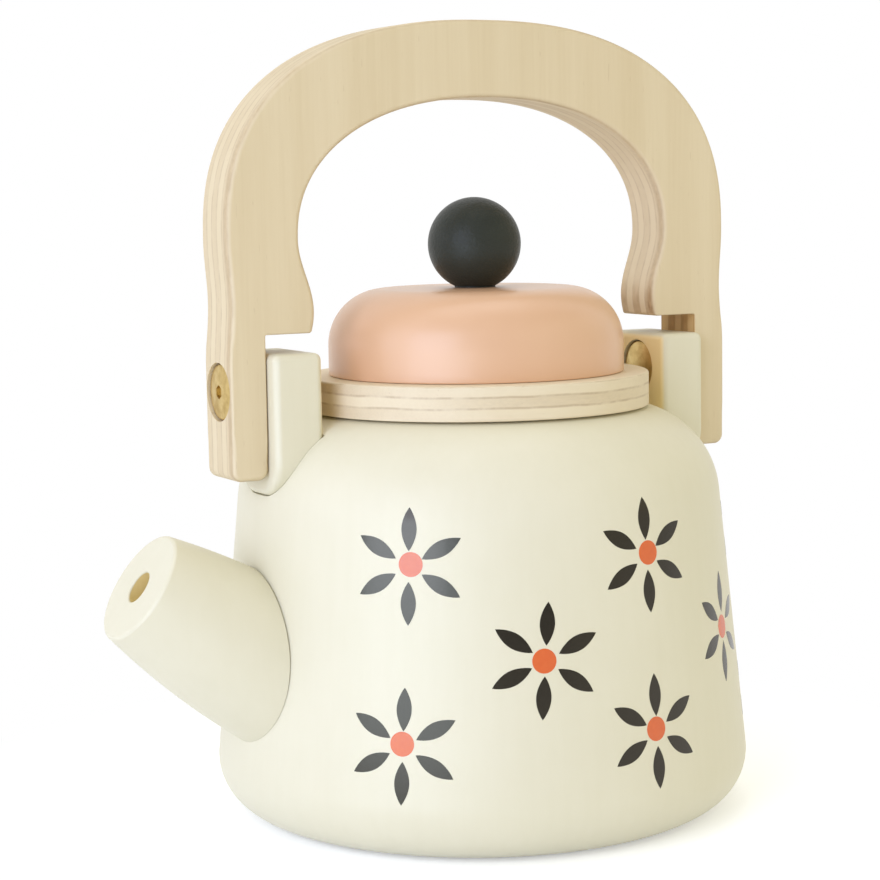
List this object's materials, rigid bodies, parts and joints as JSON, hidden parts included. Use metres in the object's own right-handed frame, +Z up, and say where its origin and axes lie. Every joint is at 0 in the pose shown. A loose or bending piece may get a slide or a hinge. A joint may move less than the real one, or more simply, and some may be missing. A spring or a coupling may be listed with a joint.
{
  "type": "toy kettle",
  "caption": "Wooden toy kettle: turned cream body and tapered spout, plywood arch handle that swings on brass pivots, and a domed lid with a ball knob that lifts out of a plywood collar.",
  "frame": {"origin": "centre of the flat underside, on the body's turning axis", "axes": "+Z up, spout towards -X, handle's pivot axis along X"},
  "size_m": [0.1452, 0.1152, 0.1681],
  "materials": {
    "cream_paint": "satin paint",
    "peach_paint": "satin paint",
    "charcoal_paint": "satin paint",
    "plywood": "fine sanded, clear sealed",
    "beech": "bare",
    "brass": "satin"
  },
  "bodies": {
    "kettle": {"body_shell": "cream_paint", "base_disc": "plywood", "collar_ring": "plywood", "spout": "cream_paint", "spout_dowel": "beech", "ear_left": "cream_paint", "ear_right": "cream_paint", "pivot_bolt_left": "brass", "pivot_bolt_right": "brass", "pivot_nut_left": "brass", "pivot_nut_right": "brass"},
    "handle": {"handle": "plywood"},
    "lid": {"lid_dome": "peach_paint", "lid_plug": "beech", "knob_ball": "charcoal_paint", "knob_dowel": "beech"}
  },
  "joints": [
    {"name": "handle_swing", "type": "hinge", "parent": "kettle", "child": "handle", "pos_m": [0, 0, 0.0925], "axis": [1, 0, 0], "range_deg": [-28, 28]},
    {"name": "lid_lift", "type": "slide", "parent": "kettle", "child": "lid", "axis": [0, 0, 1], "range_m": [0, 0.018]}
  ]
}
